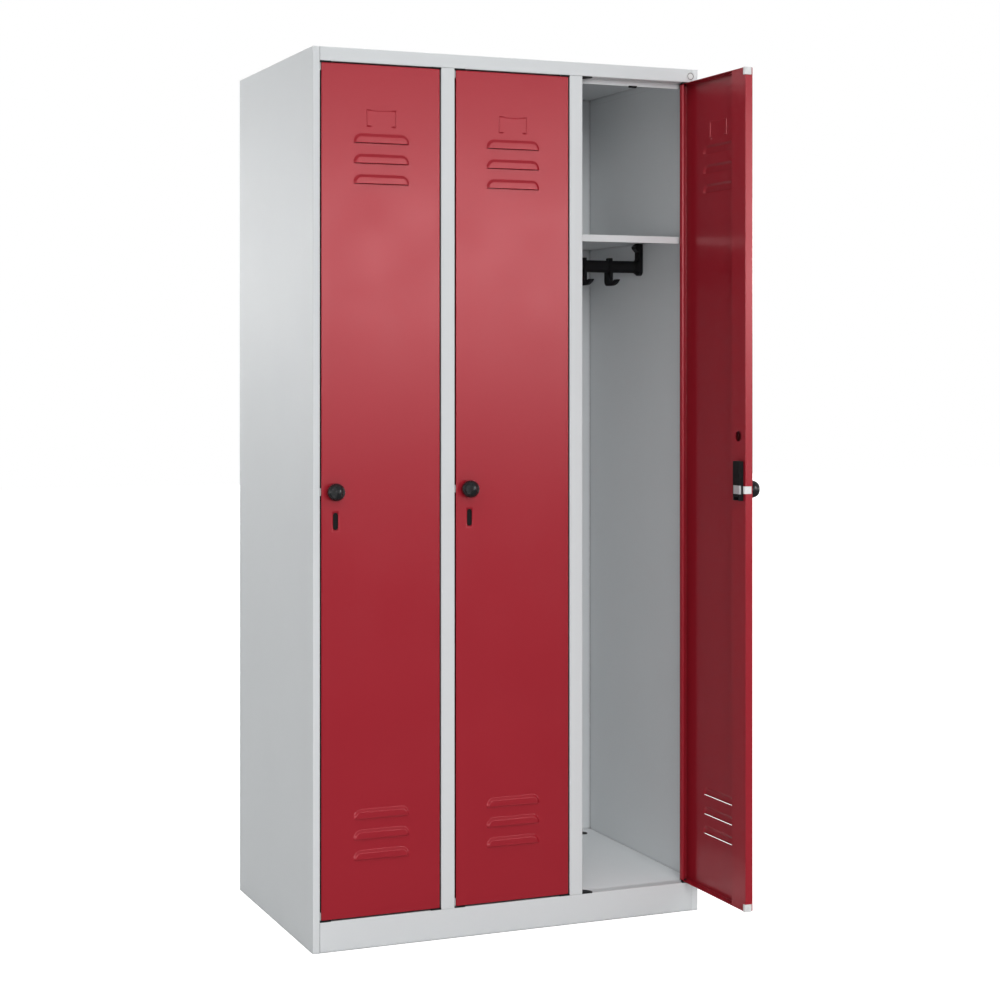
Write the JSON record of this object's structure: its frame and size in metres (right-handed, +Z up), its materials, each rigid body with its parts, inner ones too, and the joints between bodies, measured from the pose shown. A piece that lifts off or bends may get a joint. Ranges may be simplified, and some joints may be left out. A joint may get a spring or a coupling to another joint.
{
  "type": "school locker",
  "caption": "School locker: grey sheet-steel carcass on a plinth, red doors side by side with louvres, name-card frames and turning knobs, one door open on its shelf, coat rail and hooks",
  "frame": {"origin": "centre of the carcass footprint, on the floor", "axes": "+Z up, +X to the right seen from the front, the doors face -Y"},
  "size_m": [0.9137, 0.7477, 1.85],
  "materials": {
    "frame_paint": "light grey powder coat, fine texture, satin",
    "door_paint": "ruby red powder coat, fine texture, satin",
    "knob_plastic": "moulded charcoal plastic, satin",
    "black_plastic": "moulded black plastic, matt",
    "black_rubber": "matt rubber",
    "white_plastic": "moulded off-white plastic",
    "zinc_steel": "zinc plated, slightly dull"
  },
  "bodies": {
    "carcass": {"left_side": "frame_paint", "right_side": "frame_paint", "partition_left": "frame_paint", "partition_right": "frame_paint", "post_left": "frame_paint", "post_right": "frame_paint", "back_panel": "frame_paint", "top_panel": "frame_paint", "top_rail": "frame_paint", "floor_panel": "frame_paint", "plinth": "frame_paint", "hat_shelf_1": "frame_paint", "hat_shelf_2": "frame_paint", "hat_shelf_3": "frame_paint", "coat_rail_1": "black_plastic", "coat_rail_2": "black_plastic", "coat_rail_3": "black_plastic", "rail_brackets": "black_plastic", "hinge_pins": "black_plastic", "corner_plates": "black_plastic", "stop_buffers": "black_rubber", "floor_plugs": "black_plastic", "blank_badge": "white_plastic"},
    "door_body_1": {"door_1": "door_paint", "door_stiffener_1": "door_paint", "lock_case_1": "black_plastic", "slot_insert_1": "black_plastic", "door_buffers_1": "white_plastic"},
    "knob_body_1": {"knob_1": "knob_plastic", "lock_spindle_1": "zinc_steel"},
    "bolt_body_1": {"latch_bolt_1": "zinc_steel"},
    "door_body_2": {"door_2": "door_paint", "door_stiffener_2": "door_paint", "lock_case_2": "black_plastic", "slot_insert_2": "black_plastic", "door_buffers_2": "white_plastic"},
    "knob_body_2": {"knob_2": "knob_plastic", "lock_spindle_2": "zinc_steel"},
    "bolt_body_2": {"latch_bolt_2": "zinc_steel"},
    "door_body_3": {"door_3": "door_paint", "door_stiffener_3": "door_paint", "lock_case_3": "black_plastic", "slot_insert_3": "black_plastic", "door_buffers_3": "white_plastic"},
    "knob_body_3": {"knob_3": "knob_plastic", "lock_spindle_3": "zinc_steel"},
    "bolt_body_3": {"latch_bolt_3": "zinc_steel"},
    "hook_1_left_body": {"hook_1_left": "black_plastic"},
    "hook_1_middle_body": {"hook_1_middle": "black_plastic"},
    "hook_1_right_body": {"hook_1_right": "black_plastic"},
    "hook_2_left_body": {"hook_2_left": "black_plastic"},
    "hook_2_middle_body": {"hook_2_middle": "black_plastic"},
    "hook_2_right_body": {"hook_2_right": "black_plastic"},
    "hook_3_left_body": {"hook_3_left": "black_plastic"},
    "hook_3_middle_body": {"hook_3_middle": "black_plastic"},
    "hook_3_right_body": {"hook_3_right": "black_plastic"},
    "levelling_foot_1_body": {"levelling_foot_1": "zinc_steel"},
    "levelling_foot_2_body": {"levelling_foot_2": "zinc_steel"},
    "levelling_foot_3_body": {"levelling_foot_3": "zinc_steel"},
    "levelling_foot_4_body": {"levelling_foot_4": "zinc_steel"}
  },
  "joints": [
    {"name": "door_1_hinge", "type": "hinge", "parent": "carcass", "child": "door_body_1", "pos_m": [-0.177, -0.2415, 0.942], "axis": [0, 0, 1], "range_deg": [0, 105]},
    {"name": "knob_1_turn", "type": "hinge", "parent": "door_body_1", "child": "knob_body_1", "pos_m": [-0.4042, -0.2415, 0.9405], "axis": [0, -1, 0], "range_deg": [0, 90]},
    {"name": "bolt_1_throw", "type": "slide", "parent": "door_body_1", "child": "bolt_body_1", "axis": [-1, 0, 0], "range_m": [0, 0.01203]},
    {"name": "door_2_hinge", "type": "hinge", "parent": "carcass", "child": "door_body_2", "pos_m": [0.123, -0.2415, 0.942], "axis": [0, 0, 1], "range_deg": [0, 105]},
    {"name": "knob_2_turn", "type": "hinge", "parent": "door_body_2", "child": "knob_body_2", "pos_m": [-0.1042, -0.2415, 0.9405], "axis": [0, -1, 0], "range_deg": [0, 90]},
    {"name": "bolt_2_throw", "type": "slide", "parent": "door_body_2", "child": "bolt_body_2", "axis": [-1, 0, 0], "range_m": [0, 0.01203]},
    {"name": "door_3_hinge", "type": "hinge", "parent": "carcass", "child": "door_body_3", "pos_m": [0.423, -0.2415, 0.942], "axis": [0, 0, 1], "range_deg": [-90, 15]},
    {"name": "knob_3_turn", "type": "hinge", "parent": "door_body_3", "child": "knob_body_3", "pos_m": [0.423, -0.4687, 0.9405], "axis": [1, 0, 0], "range_deg": [0, 90]},
    {"name": "bolt_3_throw", "type": "slide", "parent": "door_body_3", "child": "bolt_body_3", "axis": [0, -1, 0], "range_m": [0, 0.01203]},
    {"name": "hook_1_left_slide", "type": "slide", "parent": "carcass", "child": "hook_1_left_body", "axis": [1, 0, 0], "range_m": [-0.028, 0.028]},
    {"name": "hook_1_middle_slide", "type": "slide", "parent": "carcass", "child": "hook_1_middle_body", "axis": [1, 0, 0], "range_m": [-0.028, 0.028]},
    {"name": "hook_1_right_slide", "type": "slide", "parent": "carcass", "child": "hook_1_right_body", "axis": [1, 0, 0], "range_m": [-0.028, 0.028]},
    {"name": "hook_2_left_slide", "type": "slide", "parent": "carcass", "child": "hook_2_left_body", "axis": [1, 0, 0], "range_m": [-0.028, 0.028]},
    {"name": "hook_2_middle_slide", "type": "slide", "parent": "carcass", "child": "hook_2_middle_body", "axis": [1, 0, 0], "range_m": [-0.028, 0.028]},
    {"name": "hook_2_right_slide", "type": "slide", "parent": "carcass", "child": "hook_2_right_body", "axis": [1, 0, 0], "range_m": [-0.028, 0.028]},
    {"name": "hook_3_left_slide", "type": "slide", "parent": "carcass", "child": "hook_3_left_body", "axis": [1, 0, 0], "range_m": [-0.028, 0.028]},
    {"name": "hook_3_middle_slide", "type": "slide", "parent": "carcass", "child": "hook_3_middle_body", "axis": [1, 0, 0], "range_m": [-0.028, 0.028]},
    {"name": "hook_3_right_slide", "type": "slide", "parent": "carcass", "child": "hook_3_right_body", "axis": [1, 0, 0], "range_m": [-0.028, 0.028]},
    {"name": "levelling_foot_1_screw", "type": "slide", "parent": "carcass", "child": "levelling_foot_1_body", "axis": [0, 0, -1], "range_m": [0, 0.015]},
    {"name": "levelling_foot_2_screw", "type": "slide", "parent": "carcass", "child": "levelling_foot_2_body", "axis": [0, 0, -1], "range_m": [0, 0.015]},
    {"name": "levelling_foot_3_screw", "type": "slide", "parent": "carcass", "child": "levelling_foot_3_body", "axis": [0, 0, -1], "range_m": [0, 0.015]},
    {"name": "levelling_foot_4_screw", "type": "slide", "parent": "carcass", "child": "levelling_foot_4_body", "axis": [0, 0, -1], "range_m": [0, 0.015]}
  ],
  "couplings": [
    {"joint": "bolt_1_throw", "follows": "knob_1_turn", "m_per_rad": 0.00765},
    {"joint": "bolt_2_throw", "follows": "knob_2_turn", "m_per_rad": 0.00765},
    {"joint": "bolt_3_throw", "follows": "knob_3_turn", "m_per_rad": 0.00765}
  ]
}
